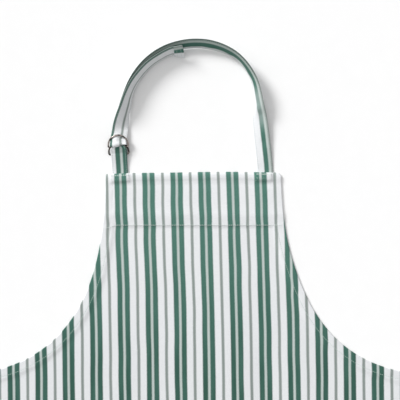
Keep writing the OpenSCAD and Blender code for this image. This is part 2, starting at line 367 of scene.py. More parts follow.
def panel_outline():
    """The whole edge, closed, running down the right side and up the left."""
    right = even(ARM, 0.003)
    side = even([right[-1], [SKIRT, HEM_Y]], 0.004)[1:]
    bottom = even([[SKIRT, HEM_Y], [-SKIRT, HEM_Y]], 0.004)[1:-1]
    left = np.vstack([right, side])[::-1] * [-1, 1]
    top = even([[-BIB_HALF, BIB_Y], [BIB_HALF, BIB_Y]], 0.0025)[1:-1]
    return np.vstack([right, side, bottom, left, top])


def panel_points(outline):
    """Points inside the outline: rows beside the edges and the seams, and a grid between."""
    loop = np.vstack([outline, outline[:1]])
    kept = []
    for gap in EDGE_GAPS:
        row = (loop + inward(loop) * gap)[:-1]
        kept.append(row[(nearest_edge(row) > gap - 0.00015) & inside_outline(row)])
    for depth in SEAM_DEPTHS:
        x = np.arange(-BIB_HALF, BIB_HALF, 0.0033)
        row = np.column_stack([x, np.full(len(x), BIB_Y - depth)])
        kept.append(row[(nearest_edge(row) > ROW_ROOM) & inside_outline(row)])
    columns = np.arange(-SKIRT, SKIRT, GRID_STEP)
    gx, gy = np.meshgrid(columns, np.arange(HEM_Y, BIB_Y, GRID_STEP * 0.87))
    gx = gx + (np.arange(gx.shape[0]) % 2)[:, None] * GRID_STEP / 2
    grid = np.column_stack([gx.ravel(), gy.ravel()])
    free = (nearest_edge(grid) > GRID_ROOM) & inside_outline(grid)
    free &= np.abs(BIB_Y - grid[:, 1] - TOP_HEM) > 0.0038
    return np.vstack(kept + [grid[free]])


def inside_outline(p):
    """True for points between the two armhole curves and inside the skirt."""
    depth = BIB_Y - p[:, 1]
    half = np.where(depth < CORNER_DEPTH,
                    np.interp(depth, BIB_Y - ARM[:, 1], ARM[:, 0]), SKIRT)
    return (np.abs(p[:, 0]) < half) & (depth > 0) & (p[:, 1] > HEM_Y)


def make_panel():
    """The main cloth: a face and an underside that meet along rounded edges."""
    outline = panel_outline()[::-1]
    inner = panel_points(outline[::-1])
    n = len(outline)
    coords = [Vector(p) for p in np.vstack([outline, inner])]
    verts, _, faces, origins, _, _ = delaunay_2d_cdt(coords, [], [list(range(n))], 1, 1e-7)
    p = np.array([[v.x, v.y] for v in verts])
    x, y = p.T
    on_edge = np.array([any(k < n for k in o) for o in origins])
    gap = np.where(on_edge, 0, nearest_edge(p))
    high = panel_top(x, y)
    low = underside(x, y)
    foot = GROUND_GAP + undulation(x, y)
    mid = (high + foot) / 2
    round_in = np.sqrt(1 - (1 - np.clip(gap / EDGE_R, 0, 1)) ** 2)
    z_high = mid + (high - mid) * round_in
    z_low = np.where(gap < 0.0017, mid - (mid - foot) * round_in, low)
    x, y = settle(x, y)
    top_v = np.column_stack([x, y, z_high])
    low_index = np.full(len(p), -1)
    low_index[on_edge] = np.nonzero(on_edge)[0]
    low_index[~on_edge] = len(p) + np.arange(int((~on_edge).sum()))
    low_v = np.column_stack([x, y, z_low])[~on_edge]
    all_faces = [list(f) for f in faces] + [[int(low_index[k]) for k in reversed(f)] for f in faces]
    uv = stripe_place(x, y)
    uv = np.vstack([uv, uv[~on_edge]])
    return new_object("apron_panel", np.vstack([top_v, low_v]), all_faces, uv)


def loft(rings):
    """Faces that join equal rings of vertices, numbered ring after ring, with capped ends."""
    count, size = len(rings), len(rings[0])
    faces = []
    for i in range(count - 1):
        for k in range(size):
            a, b = i * size + k, i * size + (k + 1) % size
            faces.append([a, a + size, b + size, b])
    faces.append(list(range(size)))
    faces.append([(count - 1) * size + k for k in reversed(range(size))])
    return faces


def make_strip(name, curve, far):
    """A folded hem under the panel, as far in from an edge curve as its width."""
    normals = inward(curve)
    near = HEM_IN
    low, high = HEM_LEVELS
    profile = [(near, 0.5), (near + 0.0004, 1), ((near + far) / 2, 1), (far - 0.0005, 1),
               (far, 0.5), (far - 0.0005, 0), ((near + far) / 2, 0), (near + 0.0004, 0)]
    rings = []
    for p, m in zip(curve, normals):
        q = np.array([p + m * gap for gap, _ in profile])
        lift = undulation(*q.T)
        q = np.column_stack(settle(*q.T))
        z = [low + (high - low) * level for _, level in profile] + lift
        rings.append(np.column_stack([q, z]))
    verts = np.vstack(rings)
    return new_object(name, verts, loft(rings), verts[:, :2] + [HEM_SHIFT, 0])


def make_facing():
    """The deep turned hem behind the bib's top edge."""
    depth = np.linspace(HEM_IN, TOP_HEM + 0.0015, 26)
    across = np.linspace(-1, 1, 60)
    half = np.interp(depth, BIB_Y - ARM[:, 1], ARM[:, 0]) - 0.0034
    r, c = len(depth), len(across)
    x = (across[None, :] * half[:, None]).ravel()
    y = BIB_Y - np.repeat(depth, c)
    rows = [np.column_stack([*settle(x, y), level + undulation(x, y)]) for level in FACING_LEVELS]
    faces = []
    for i in range(r - 1):
        for k in range(c - 1):
            a = i * c + k
            faces.append([a, a + 1, a + c + 1, a + c])
            faces.append([a + r * c + m for m in (0, c, c + 1, 1)])
    rim = list(range(c)) + [i * c + c - 1 for i in range(1, r)]
    rim += [(r - 1) * c + k for k in range(c - 2, -1, -1)] + [i * c for i in range(r - 2, 0, -1)]
    for a, b in zip(rim, rim[1:] + rim[:1]):
        faces.append([a + r * c, b + r * c, b, a])
    verts = np.vstack(rows)
    return new_object("top_hem_facing_cloth", verts, faces, verts[:, :2] + [FACING_SHIFT, 0])


# ---- stitches ----

# Rings of one stitch: shares of its length and of its radius, and its rise in radii
STITCH_SHAPE = ((-0.5, 0.25, -0.6), (-0.36, 0.8, 0.15), (0, 1, 0.55), (0.36, 0.8, 0.15),
                (0.5, 0.25, -0.6))


def make_stitches(name, rows, pitch=0.0031, length=0.0028, radius=0.00032):
    """Single stitches along rows. Each row is (points, normals), both lists of 3-D vectors."""
    rings_all, faces_all = [], []
    for points, normals in rows:
        # the normals are scaled down, so that only the distance spaces the stitches
        data = even(np.column_stack([points, np.asarray(normals) * 1e-6]), pitch)
        centres, ups = data[:, :3], data[:, 3:]
        travel = np.gradient(centres, axis=0)
        for c, t, u in zip(centres, travel, ups):
            t = t / np.linalg.norm(t)
            u = u / np.linalg.norm(u)
            s = np.cross(t, u)
            base = sum(len(r) for r in rings_all)
            rings = []
            for along, size, rise in STITCH_SHAPE:
                mid = c + t * along * length + u * rise * radius
                rings.append([mid + radius * size * (s * math.cos(a) + u * math.sin(a))
                              for a in np.arange(6) * math.pi / 3])
            faces_all += [[base + k for k in f] for f in loft(rings)]
            rings_all.append(np.vstack(rings))
    verts = np.vstack(rings_all)
    return new_object(name, verts, faces_all, verts[:, :2])


def seam_row(points, above=0.00005):
    """A stitch row on the panel's face, along points in XY."""
    points = even(points, 0.002)
    z = panel_top(*points.T) + above
    return np.column_stack([*settle(*points.T), z]), np.tile([0.0, 0, 1], (len(points), 1))


def cross_line(centre, reach, depth):
    """The ends of a line straight across the bib, at a depth below its top edge."""
    return [[centre - reach, BIB_Y - depth], [centre + reach, BIB_Y - depth]]


def mirrored(points):
    return np.asarray(points) * [-1, 1]


# ---- straps ----

# [outer edge x, y above the bib's top edge, lean of the outer part and of the inner part in
# degrees, height of the lower edge], millimetres
MAIN_ROUTE = [[122, 5, 0, 0, 0], [120.2, 25, 3, 3, 0], [116, 60, 12, 12, 0],
              [112, 88, 20, 24, 0], [105.8, 113, 36, 66, 0], [95.5, 149, 58, 86, 0],
              [69.4, 184.8, 56, 88, 0], [34, 204.2, 38, 88, 0], [-4, 209.2, 33, 88, 0],
              [-44, 200.6, 42, 88, 0], [-77, 180, 55, 85, 0], [-101, 150, 61, 82, 0],
              [-115, 117, 53, 72, 0], [-123.5, 93, 28, 44, 0], [-130, 73, 8, 12, 0],
              [-133.4, 58, 0, 0, 0]]
TAIL_ROUTE = [[-133, 58, 0, 0, 4.4], [-131.2, 66, 2, 4, 3.4], [-130, 74, 7, 12, 2.6],
              [-127.2, 84, 15, 29, 2.7], [-122.6, 96.3, 24, 47, 3.3],
              [-117.4, 108.6, 33, 60, 4.3], [-111.2, 124.4, 42, 72, 4.0], [-99, 147.2, 48, 80, 2.0],
              [-74.7, 174.7, 50, 84, 0.6], [-44.2, 193.2, 48, 84, 0.6], [-31.3, 196.6, 42, 68, 2],
              [-21, 199.2, 34, 42, 4]]
MAIN_CREASE = (14.2, 2.2)  # middle and half-width of the bend along the strap
TAIL_CREASE = (12.0, 9.0)
# The turn round the lower ring and the roll over the tab's end: y and height of the strap's
# middle in the tab's frame, and the share of its width, millimetres
TURN = [[51.5, 0.9, 1], [48.3, 0.95, 0.86], [46.0, 1.3, 0.62], [44.95, 2.6, 0.52],
        [44.8, 4.4, 0.56], [44.3, 6.6, 0.8], [43.2, 8.9, 0.98], [42.6, 10.8, 1.02],
        [43.8, 12.2, 1.02], [45.8, 11.8, 1.0], [48.0, 9.6, 0.98], [50.4, 8.4, 0.98],
        [53.4, 8.0, 0.98]]
TIP_HEM = 0.0155  # length of the tail's folded end


def spline(route, steps):
    """Points along a smooth curve through a route's stations."""
    r = np.asarray(route, float)
    n = len(r) - 1
    out = []
    for i in range(n):
        a, b, c, d = r[max(i - 1, 0)], r[i], r[i + 1], r[min(i + 2, n)]
        for k in range(steps + (1 if i == n - 1 else 0)):
            t = k / steps
            out.append(0.5 * (2 * b + (c - a) * t + (2 * a - 5 * b + 4 * c - d) * t * t
                              + (3 * b - a - 3 * c + d) * t ** 3))
    return np.array(out)


ACROSS = np.linspace(0, STRAP_W, 26)  # places across a strap, from its outer edge
MIDDLE = 12  # the place that a strap's length is measured at
ROUTE_STEPS = 6  # rows of points between two stations of a route
ARCH_STATIONS = (4, 12)  # first and last station of the buckled arch
ROLL_ROW = 24  # row of the roll over the tab's end, from the turn's start
TURN_ROWS = 41  # rows from the turn's start that carry no stitches, since the rings lie there


def bent_section(lean_out, lean_in, crease):
    """Across and down from the outer edge, for a section that bends along a crease."""
    middle, spread = crease[0] * MM, crease[1] * MM
    share = ramp(ACROSS, middle - spread, middle + spread)
    lean = np.radians(lean_out + (lean_in - lean_out) * share)

    def summed(slope):
        return np.concatenate([[0], np.cumsum((slope[1:] + slope[:-1]) / 2 * ACROSS[1])])

    return summed(np.cos(lean)), summed(np.sin(lean))


def route_rows(route, side, crease):
    """Rows of points across a leaning strap; the outer edge comes first."""
    stations = spline(route, ROUTE_STEPS)
    travel = np.gradient(stations[:, :2], axis=0)
    rows = []
    for s, t in zip(stations, travel):
        inward_way = -side * np.array([t[1], -t[0], 0]) / np.linalg.norm(t)
        across, down = bent_section(s[2], s[3], crease)
        top = FLOAT_Z + s[4] * MM + STRAP_T / 2 + down[-1]
        edge = np.array([s[0] * MM, BIB_Y + s[1] * MM, top])
        rows.append(edge + across[:, None] * inward_way - down[:, None] * UP)
    return rows


def flat_row(middle, outward_way, share=1.0):
    """A row of points across a flat strap; outward_way points to its outer edge."""
    way = np.asarray(outward_way, float)
    return np.asarray(middle) + (STRAP_W / 2 - ACROSS)[:, None] * share * way


def from_tab(x, y, z):
    """A point given in the ring tab's own leaning frame."""
    c, s = math.cos(TAB_LEAN), math.sin(TAB_LEAN)
    return np.array([-TAB_X + x * c - y * s, BIB_Y + x * s + y * c, z])


TAB_LEFT = -np.array([math.cos(TAB_LEAN), math.sin(TAB_LEAN), 0])


class Band:
    """A flat band of cloth through rows of points, with its faces' normals at every point."""

    def __init__(self, rows, passes=2):
        grid = np.array(rows)
        for _ in range(passes):
            grid[1:-1] = (grid[:-2] + 2 * grid[1:-1] + grid[2:]) / 4
        self.grid = grid
        self.length = lengths(grid[:, MIDDLE])
        self.find_normals()

    def find_normals(self):
        outward = -np.gradient(self.grid, axis=1)
        travel = np.gradient(self.grid, axis=0)
        normals = np.cross(outward, travel)
        self.normals = normals / np.linalg.norm(normals, axis=2)[:, :, None]

    def push(self, relief):
        """Move the points along their normals by relief(along, across), in metres."""
        along = np.repeat(self.length[:, None], len(ACROSS), axis=1)
        across = np.repeat(ACROSS[None, :], len(self.length), axis=0)
        self.grid = self.grid + self.normals * relief(along, across)[:, :, None]
        self.find_normals()

    def at(self, i, u, height):
        """The point of section i at u across the band and at a height over its middle."""
        place = [np.interp(u, ACROSS, self.grid[i, :, k]) for k in range(3)]
        normal = [np.interp(u, ACROSS, self.normals[i, :, k]) for k in range(3)]
        return np.array(place) + np.array(normal) * height

    def mesh(self, name, thick):
        """A closed strap. Material slot 1 is on its back, and slot 0 on its front and edges."""
        front, back, edge = 0, 1, 2
        half_t = thick / 2
        columns = np.concatenate([[0.0004, 0.0012], np.linspace(0.0025, STRAP_W - 0.0025, 15),
                                  [STRAP_W - 0.0012, STRAP_W - 0.0004]])
        rounding = ((0.0001, 0.6), (0, 0), (0.0001, -0.6))
        profile = [(u, half_t, front) for u in columns]
        profile += [(STRAP_W - u, share * half_t, edge) for u, share in rounding]
        profile += [(u, -half_t, back) for u in columns[::-1]]
        profile += [(u, share * half_t, edge) for u, share in rounding[::-1]]
        rings = [[self.at(i, u, h) for u, h, _ in profile] for i in range(len(self.length))]
        uvs = [[u, s] for s in self.length for u, _, _ in profile]
        faces = loft(rings)
        sides = [kind for _, _, kind in profile]
        pairs = [int(a == b == back) for a, b in zip(sides, sides[1:] + sides[:1])]
        slots = pairs * (len(rings) - 1) + [0, 0]
        return new_object(name, np.vstack(rings), faces, uvs, face_slots=slots)

    def edge_rows(self, keep, thick, inset=0.0021):
        """Rows along both edges on both faces, for the sections that keep(i) chooses."""
        chosen = [i for i in range(len(self.length)) if keep(i)]
        runs = np.split(np.array(chosen), np.nonzero(np.diff(chosen) > 1)[0] + 1)
        return [self.stitch_line([(i, u) for i in run], face * thick / 2)
                for run in runs for u in (inset, STRAP_W - inset) for face in (-1, 1)]

    def cross_row(self, i, thick, inset=0.002):
        """A row of stitches straight across section i, on the front face."""
        places = np.linspace(inset, STRAP_W - inset, 12)
        return self.stitch_line([(i, u) for u in places], thick / 2)

    def stitch_line(self, places, height):
        """Points over (section, u) places at a height over the band's middle, with normals."""
        points = np.array([self.at(i, u, height) for i, u in places])
        ups = points - np.array([self.at(i, u, 0) for i, u in places])
        return points, ups / np.linalg.norm(ups, axis=1)[:, None]


def root_rows(centre, height, n=6):
    """The sewn end of a strap that runs out of the bib along +Y."""
    places = np.linspace(BIB_Y - SEWN, BIB_Y - 0.001, n)
    return [flat_row([centre, y, height], [1, 0, 0]) for y in places]


def hang_on_bib(cloth, stitches):
    """Bake a strap's and its stitches' placement into their meshes."""
    for piece, slot in ((cloth, "strap_cloth"), (stitches, "sewing_thread")):
        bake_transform(piece)


def make_neck_strap():
    """From the bib's right corner round the arch, through both rings and back to a folded tip."""
    root = root_rows(STRAP_X, 0.0015)
    main = route_rows(MAIN_ROUTE, 1, MAIN_CREASE)
    turn = [flat_row(from_tab(0, p[0] * MM, p[1] * MM), TAB_LEFT, p[2]) for p in spline(TURN, 3)]
    tail = route_rows(TAIL_ROUTE, -1, TAIL_CREASE)
    from_tip = lengths(np.array(tail)[::-1, MIDDLE])
    folded = int(np.searchsorted(from_tip[1:], TIP_HEM)) + 1
    hem = [row + np.array([0.0006, -0.0004, 0.0017]) for row in tail[::-1][:folded]]
    band = Band(root + main + turn + tail + hem)
    start = len(root) + len(main)
    s_roll = band.length[start + ROLL_ROW]
    s_arch, s_left = [band.length[len(root) + ROUTE_STEPS * k] for k in ARCH_STATIONS]

    def relief(along, across):
        roll = bump_at(along, s_roll, 0.006) * bump_at(across, 0.008, 0.007) * -0.0022
        ridge = bump_at(along, s_roll + 0.0125, 0.006) * bump_at(across, 0.0095, 0.0048) * -0.0026
        sag = bump_at(along, s_roll, 0.009) * bump_at(across, 0.0215, 0.005) * 0.0020
        arch = ramp(along, s_arch - 0.02, s_arch + 0.02) * ramp(along, s_left + 0.02, s_left - 0.02)
        buckle = arch * bump_at(across, 0.0145, 0.003) * 0.0009
        buckle *= value_noise(along / 0.011, 0 * along, 33)
        faint = 0.00025 * value_noise(along / 0.017, across / 0.012, 34)
        rise = ramp(along, 0.028, 0.065) * ramp(along, s_arch + 0.02, s_arch - 0.01)
        puckers = rise * bump_at(across, 0.0105, 0.0045) * 0.0017
        puckers *= value_noise(along / 0.009, 0 * along, 35)
        return roll + ridge + sag + buckle + faint + puckers

    band.push(relief)
    strap = band.mesh("neck_strap_cloth", STRAP_T)
    first = len(root) + 1
    last = len(band.length) - folded - 2

    def shows(i):
        return first < i < last and not start - 3 < i < start + TURN_ROWS

    rows = band.edge_rows(shows, STRAP_T)
    for back in (3, 6):  # two rows hold the folded tip
        rows.append(band.cross_row(len(band.length) - back, STRAP_T))
    stitches = make_stitches("neck_strap_stitches", rows, **STRAP_STITCHES)
    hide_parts("neck_strap", "neck_strap_sewn_end")
    hang_on_bib(strap, stitches)
    return strap, stitches


# ---- ring tab ----

LOWER_BAR = (0.0296, 0.0031)  # y and height of each ring's bar in the tab's frame
UPPER_BAR = (0.0405, 0.0066)
TAB_T = 0.0011
# The tab's middle line in its own frame: y and height, from the hidden end of the lower layer,
# round both bars and back to the hidden end of the upper layer, millimetres
TAB_LINE = [[-15, 1.25], [-1, 1.25], [5, 0.95], [15, 0.92], [28, 0.9], [36, 1.0],
            [40.5, 2.2], [42.55, 4.6], [42.75, 7.0], [41.6, 8.75], [39.4, 8.9], [35, 7.3],
            [31.5, 5.6], [28.5, 5.2], [24, 4.3], [15, 2.7], [6, 2.0], [-1, 2.2], [-15, 2.3]]


def make_ring_tab():
    """Two layers from the bib, folded round both rings' bars."""
    rows = []
    for y, z in spline(TAB_LINE, 4):
        narrow = 1 - 0.3 * float(ramp(y, 37.5, 43.5))
        middle = from_tab(0, y * MM, z * MM) if y > 0 else np.array([-TAB_X, BIB_Y + y * MM, z * MM])
        rows.append(flat_row(middle, TAB_LEFT, narrow))
    band = Band(rows, passes=1)
    tab = band.mesh("ring_tab_cloth", TAB_T)
    rows = band.edge_rows(lambda i: band.grid[i, MIDDLE, 1] > BIB_Y + 0.001, TAB_T)
    stitches = make_stitches("ring_tab_stitches", rows, **STRAP_STITCHES)
    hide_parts("ring_tab", "ring_tab_sewn_end")
    hang_on_bib(tab, stitches)
    return tab, stitches


# ---- D-rings ----

def ring_path():
    """The wire's path: the bar's middle, round the arc and back to the bar's middle."""
    arc_r = (RING_W - WIRE_D) / 2
    leg = RING_H - WIRE_D - arc_r
    corner = 0.0022  # radius of the bends between the bar and the arc's legs
    points = [[0.00008, 0], [arc_r / 3, 0], [arc_r * 2 / 3, 0], [arc_r - corner, 0]]
    points += [[arc_r - corner + corner * math.sin(a), corner - corner * math.cos(a)]
               for a in np.radians([22.5, 45, 67.5, 90])]
    points += [[arc_r * math.cos(a), leg + arc_r * math.sin(a)]
               for a in np.radians(np.arange(0, 181, 7.5))]
    mirror = [[-x, y] for x, y in points[:8][::-1]]
    return np.array(points + mirror)


def make_ring(word, bar, slope, glint_and_wear):
    """A bent-wire D-ring whose arc rises from its bar by slope, in radians."""
    path = ring_path()
    travel = np.gradient(path, axis=0)
    travel /= np.linalg.norm(travel, axis=1)[:, None]
    r = WIRE_D / 2
    rings = []
    for p, t in zip(path, travel):
        side = np.array([t[1], -t[0], 0])
        ring = []
        for a in np.arange(20) * math.pi / 10:
            q = np.array([p[0], p[1], 0]) + r * (side * math.cos(a) + UP * math.sin(a))
            y = bar[0] + q[1] * math.cos(slope) - q[2] * math.sin(slope)
            z = bar[1] + q[1] * math.sin(slope) + q[2] * math.cos(slope)
            ring.append(from_tab(q[0], y, z))
        rings.append(ring)
    verts = np.vstack(rings)
    ring = new_object(f"{word}_ring_wire", verts, loft(rings), verts[:, :2])
    dress(ring, metal_material(f"{word}_ring_metal", glint_and_wear))
    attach(ring, f"{word}_ring")
    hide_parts(f"{word}_d_ring")


# ---- waist ties ----

def make_tie(side):
    """One tie, from its sewn end through a stack of runs, folded to and fro."""
    word = "right" if side > 0 else "left"
    low, high = TIE_STACK
    y_mid = (low.y + high.y) / 2
    pitch = (high.z - FLOAT_Z - STRAP_T) / (TIE_RUNS - 1)  # from one run up to the next
    inner = SKIRT + 0.031
    outer = high.x - 0.0016
    rng = np.random.default_rng(50 + side)
    sewn_z = TIE_END[0].z + STRAP_T / 2
    laid_z = FLOAT_Z + STRAP_T / 2
    # x and height of the tie's middle line; shifts are its small slips along Y
    pts = [[SKIRT - SEWN, sewn_z], [SKIRT - 0.005, sewn_z], [SKIRT, 0.0013],
           [SKIRT + 0.006, laid_z], [SKIRT + 0.016, laid_z]]
    shifts = [0] * len(pts)
    for k in range(TIE_RUNS):
        z = laid_z + k * pitch
        ends = (inner, outer) if k % 2 == 0 else (outer, inner)
        slip = float(rng.uniform(-0.0012, 0.0012))
        short = float(rng.uniform(0, 0.0025))
        away = 1 if ends[1] > ends[0] else -1
        run = [ends[0] + away * d for d in (0.002, 0.03, 0.06)]
        run.append(ends[1] - away * (0.001 + short))
        for j, x in enumerate(run):
            if k == 0 and j == 0:
                continue
            bow = 0.0001 * math.sin(math.pi * j / 3)
            pts.append([x, z + bow])
            shifts.append(slip)
        if k < TIE_RUNS - 1:
            for a in np.radians([45, 90, 135]):
                pts.append([ends[1] - away * short + away * pitch * 0.62 * math.sin(a),
                            z + pitch / 2 * (1 - math.cos(a))])
                shifts.append(slip)
    points = spline(np.column_stack([pts, shifts]), 4)
    rows = [flat_row([side * p[0], y_mid + p[2], p[1]], [0, side, 0]) for p in points]
    band = Band(rows, passes=1)
    tie = band.mesh(f"{word}_waist_tie_cloth", TAB_T)
    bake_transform(tie)
    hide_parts(f"{word}_waist_tie", f"{word}_tie_sewn_end")
    return tie


# ---- materials ----

class Nodes:
    """Short helpers to wire a material's nodes."""

    def __init__(self, name):
        self.mat = bpy.data.materials.new(name)
        self.mat.use_nodes = True
        self.tree = self.mat.node_tree
        self.tree.nodes.clear()
        self.shader = self.new("BsdfPrincipled")
        self.link(self.shader.outputs[0], self.new("OutputMaterial").inputs[0])

    def new(self, kind):
        return self.tree.nodes.new("ShaderNode" + kind)

    def link(self, value, socket):
        if isinstance(value, bpy.types.NodeSocket):
            self.tree.links.new(value, socket)
        else:
            socket.default_value = value

    def set(self, name, value):
        self.link(value, self.shader.inputs[name])

    def math(self, op, a, b=0.0, c=0.0):
        node = self.new("Math")
        node.operation = op
        for value, socket in zip((a, b, c), node.inputs):
            self.link(value, socket)
        return node.outputs[0]

    def times(self, a, b):
        return self.math("MULTIPLY", a, b)

    def range(self, value, low, high, to_low=0.0, to_high=1.0):
        node = self.new("MapRange")
        node.interpolation_type = "SMOOTHSTEP"
        self.link(value, node.inputs["Value"])
        for name, v in (("From Min", low), ("From Max", high), ("To Min", to_low), ("To Max", to_high)):
            node.inputs[name].default_value = v
        return node.outputs["Result"]

    def mix(self, factor, a, b, blend="MIX"):
        node = self.new("Mix")
        node.data_type = "RGBA"
        node.blend_type = blend
        self.link(factor, node.inputs[0])
        for value, socket in ((a, node.inputs[6]), (b, node.inputs[7])):
            if isinstance(value, tuple):
                socket.default_value = (*value, 1)
            else:
                self.link(value, socket)
        return node.outputs[2]

    def cloth_place(self):
        """Across and along the flat cloth, in millimetres."""
        node = self.new("UVMap")
        node.uv_map = "cloth"
        split = self.new("SeparateXYZ")
        self.link(node.outputs[0], split.inputs[0])
        return [self.times(split.outputs[k], 1000.0) for k in (0, 1)]

    def object_place(self):
        return self.new("TexCoord").outputs["Object"]

    def noise(self, vector, scale, detail=2.0, rough=0.5):
        node = self.new("TexNoise")
        self.link(vector, node.inputs["Vector"])
        node.inputs["Scale"].default_value = scale
        node.inputs["Detail"].default_value = detail
        node.inputs["Roughness"].default_value = rough
        return node.outputs["Fac"]

    def vector(self, x, y, z=0.0):
        node = self.new("CombineXYZ")
        for value, socket in zip((x, y, z), node.inputs):
            self.link(value, socket)
        return node.outputs[0]

    def bump(self, height, strength, distance):
        node = self.new("Bump")
        node.inputs["Strength"].default_value = strength
        node.inputs["Distance"].default_value = distance
        self.link(height, node.inputs["Height"])
        self.set("Normal", node.outputs[0])


def srgb(r, g, b):
    """Linear colour from 0-255 display values."""
    def one(v):
        v = v / 255
        return v / 12.92 if v <= 0.04045 else ((v + 0.055) / 1.055) ** 2.4
    return one(r), one(g), one(b)


WHITE_YARN = srgb(238, 240, 242)
CREAM_YARN = srgb(231, 233, 235)
GREEN_YARN = srgb(98, 142, 130)
SHADE_YARN = srgb(72, 116, 103)
DEEP_GREEN = srgb(44, 82, 70)
GREY_GREEN = srgb(141, 152, 148)
PALE_GREY = srgb(158, 167, 163)
# DEEP_GREY and DEEP_WHITE serve only the painted shade towards the waist.
DEEP_GREY = srgb(112, 120, 117)
DEEP_WHITE = srgb(222, 224, 226)
GREEN_TINT = srgb(184, 196, 191)
# Painted shade, multiplied into the strap where it turns away from the light.
PAINTED_SHADE_GREY = (0.52, 0.56, 0.54)
YARN = 0.5  # pitch of the yarns, millimetres
SOFT = 1.15  # how far a stripe's edge blurs into the next


def bar_mask(n, u, centre, width, soft=SOFT):
    """1 inside a stripe of that width round centre, all in millimetres."""
    away = n.math("ABSOLUTE", n.math("SUBTRACT", u, centre))
    return n.range(away, width / 2 + soft, width / 2 - soft)


def cloth_material(name, bold, thin, repeat=None, painted_waist_shade=False, tinted=None, depth=0.0, painted_highlight_span=None,
                   painted_shade_span=None):
    """Striped cotton twill. bold, thin and tinted are (centre, width) lists across the cloth.
    painted_waist_shade darkens the colours unevenly towards the waist, as painted shade where the
    light falls off, and depth deepens the green alike everywhere. painted_highlight_span and
    painted_shade_span tell where along the cloth a painted highlight pales the green and where
    painted shade greys all of it: from, full, until, gone and how much. All in millimetres."""
    n = Nodes(name)
    u, v = n.cloth_place()

    def streaks(across, along, detail=3.0):
        return n.noise(n.vector(n.times(u, across), n.times(v, along)), 1.0, detail)

    ragged = streaks(0.9, 0.35, 2.0)
    place = n.math("MULTIPLY_ADD", n.math("SUBTRACT", ragged, 0.5), 0.7, u)
    if repeat:
        place = n.math("FLOORED_MODULO", place, repeat)
    warp = n.math("SINE", n.times(u, 2 * math.pi / YARN))
    weft = n.math("SINE", n.times(v, 2 * math.pi / YARN))
    twill = n.math("SINE", n.times(n.math("ADD", u, v), 2 * math.pi / (3 * YARN)))
    slub = streaks(2.2, 0.12)
    cross_slub = streaks(0.12, 2.2)
    patch = streaks(0.03, 0.02)

    def gather(bars):
        total = None
        for centre, width in bars:
            mask = bar_mask(n, place, centre, width)
            total = mask if total is None else n.math("MAXIMUM", total, mask)
        return total

    fleck = n.range(n.math("ADD", n.times(twill, 0.3), slub), 0.3, 0.95)
    green = n.mix(fleck, SHADE_YARN, GREEN_YARN)
    green = n.mix(n.times(n.range(patch, 0.35, 0.7), 0.25), green, SHADE_YARN)
    grey = n.mix(fleck, GREY_GREEN, PALE_GREY)
    white = n.mix(n.range(cross_slub, 0.3, 0.75), CREAM_YARN, WHITE_YARN)
    # Painted shade: the light falls off towards the waist, so the colours are darkened there, a little
    # more on some stripes than on others.
    if painted_waist_shade:
        deep = n.range(v, 310.0, -40.0)
        uneven = streaks(0.09, 0.012, 2.0)
        green = n.mix(n.times(deep, n.range(uneven, 0.3, 0.7, 0.58, 0.88)), green, DEEP_GREEN)
        grey = n.mix(n.times(deep, 0.3), grey, DEEP_GREY)
        white = n.mix(n.times(deep, 0.55), white, DEEP_WHITE)
    elif depth:
        green = n.mix(depth, green, DEEP_GREEN)

    def stretch(span):
        share = n.times(n.range(v, span[0], span[1]), n.range(v, span[3], span[2]))
        return n.times(share, span[4])

    # Painted highlight: the green pales where the strap's face turns towards the light.
    if painted_highlight_span:
        green = n.mix(stretch(painted_highlight_span), green, CREAM_YARN)
    # Painted shade: the grey edge stripe darkens to green where the strap turns away from the light.
    if painted_shade_span:
        grey = n.mix(stretch(painted_shade_span), grey, DEEP_GREEN)
    color = white
    if tinted:
        color = n.mix(n.times(gather(tinted), 0.85), color, GREEN_TINT)
    if thin:
        color = n.mix(gather(thin), color, grey)
    color = n.mix(gather(bold), color, green)
    # Painted shade: all colours are darkened where the strap turns away from the light.
    if painted_shade_span:
        color = n.mix(stretch(painted_shade_span), color, PAINTED_SHADE_GREY, "MULTIPLY")
    shade = n.range(n.times(warp, weft), -1.0, 1.0, 0.95, 1.0)
    color = n.mix(1.0, color, n.vector(shade, shade, shade), "MULTIPLY")
    n.set("Base Color", color)
    n.set("Roughness", 0.9)
    n.set("Specular IOR Level", 0.2)
    n.set("Sheen Weight", 0.15)
    n.set("Sheen Roughness", 0.5)
    height = n.times(n.math("ADD", warp, weft), 0.3)
    height = n.math("ADD", height, n.times(twill, 0.5))
    height = n.math("ADD", height, n.times(slub, 0.9))
    n.bump(height, 0.35, 0.0002)
    return n.mat


def metal_material(name, glint_and_wear):
    """Dark antique plating with lighter patches that stand partly for rubbed wear and partly for
    painted highlights.
    """
    n = Nodes(name)
    place = n.object_place()
    grain = n.noise(place, 900.0, 3.0)
    glint_wear_noise = n.noise(place, 160.0, 4.0, 0.65)
    # Painted highlights and rubbed wear: the plating lightens where the noise is high.
    color = n.mix(n.range(glint_wear_noise, 0.66 - glint_and_wear, 0.86 - glint_and_wear), srgb(80, 77, 73), srgb(198, 186, 180))
    color = n.mix(n.times(grain, 0.3), color, srgb(58, 53, 49))
    n.set("Base Color", color)
    n.set("Metallic", 0.9)
    n.set("Roughness", n.range(grain, 0.2, 0.8, 0.26, 0.44))
    n.bump(grain, 0.12, 0.0001)
    return n.mat


def thread_material(name, color):
    """Sewing thread, with painted shade darkening the grooves of its twist."""
    n = Nodes(name)
    place = n.object_place()
    twist = n.noise(place, 2500.0, 2.0)
    n.set("Base Color", n.mix(twist, tuple(0.82 * c for c in color), color))
    n.set("Roughness", 0.7)
    n.set("Sheen Weight", 0.3)
    n.bump(twist, 0.3, 0.0001)
    return n.mat


